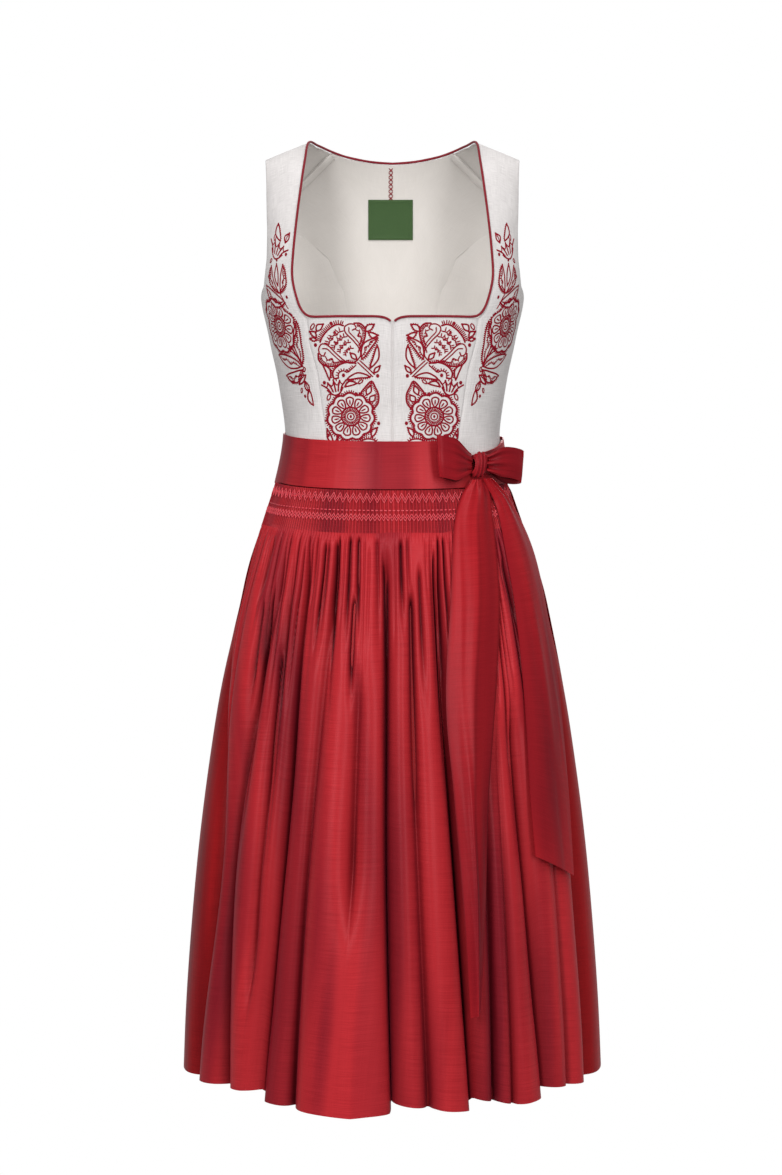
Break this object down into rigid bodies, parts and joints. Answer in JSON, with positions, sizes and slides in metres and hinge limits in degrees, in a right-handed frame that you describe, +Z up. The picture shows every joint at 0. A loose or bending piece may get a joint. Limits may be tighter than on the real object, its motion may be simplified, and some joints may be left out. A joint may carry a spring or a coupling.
{
  "type": "dirndl dress with apron",
  "caption": "Sleeveless folk dress as worn: square-necked embroidered linen bodice, gathered skirt and smocked apron tied in a side bow.",
  "frame": {"origin": "midway between the shoulder straps at the height of their tops, over the side seams, where the wearer's shoulders hold the dress up", "axes": "+Z up, -Y to the wearer's front, +X to the wearer's left"},
  "size_m": [0.4836, 0.4121, 1.0797],
  "materials": {
    "linen": "matte undyed linen weave with dark red embroidery",
    "lining": "smooth cream cotton lining",
    "piping": "dark red cotton piping",
    "label": "bare green woven label",
    "skirt_taffeta": "dark red changeant taffeta",
    "apron_taffeta": "bright red ribbed taffeta with a soft gloss"
  },
  "bodies": {
    "root": {"bodice_front_centre_left": "linen", "bodice_front_centre_right": "linen", "bodice_front_side_left": "linen", "bodice_front_side_right": "linen", "bodice_back_side_left": "linen", "bodice_back_side_right": "linen", "bodice_back_centre_left": "linen", "bodice_back_centre_right": "linen", "lining_back_side_left": "lining", "lining_back_side_right": "lining", "lining_back_centre_left": "lining", "lining_back_centre_right": "lining", "neck_piping": "piping", "neck_label": "label", "skirt_front": "skirt_taffeta", "skirt_back": "skirt_taffeta", "apron": "apron_taffeta", "apron_waistband": "apron_taffeta", "apron_tie_back": "apron_taffeta", "bow_knot": "apron_taffeta", "bow_loop_left": "apron_taffeta", "bow_loop_right": "apron_taffeta", "bow_tail_long": "apron_taffeta", "bow_tail_short": "apron_taffeta"}
  },
  "joints": []
}
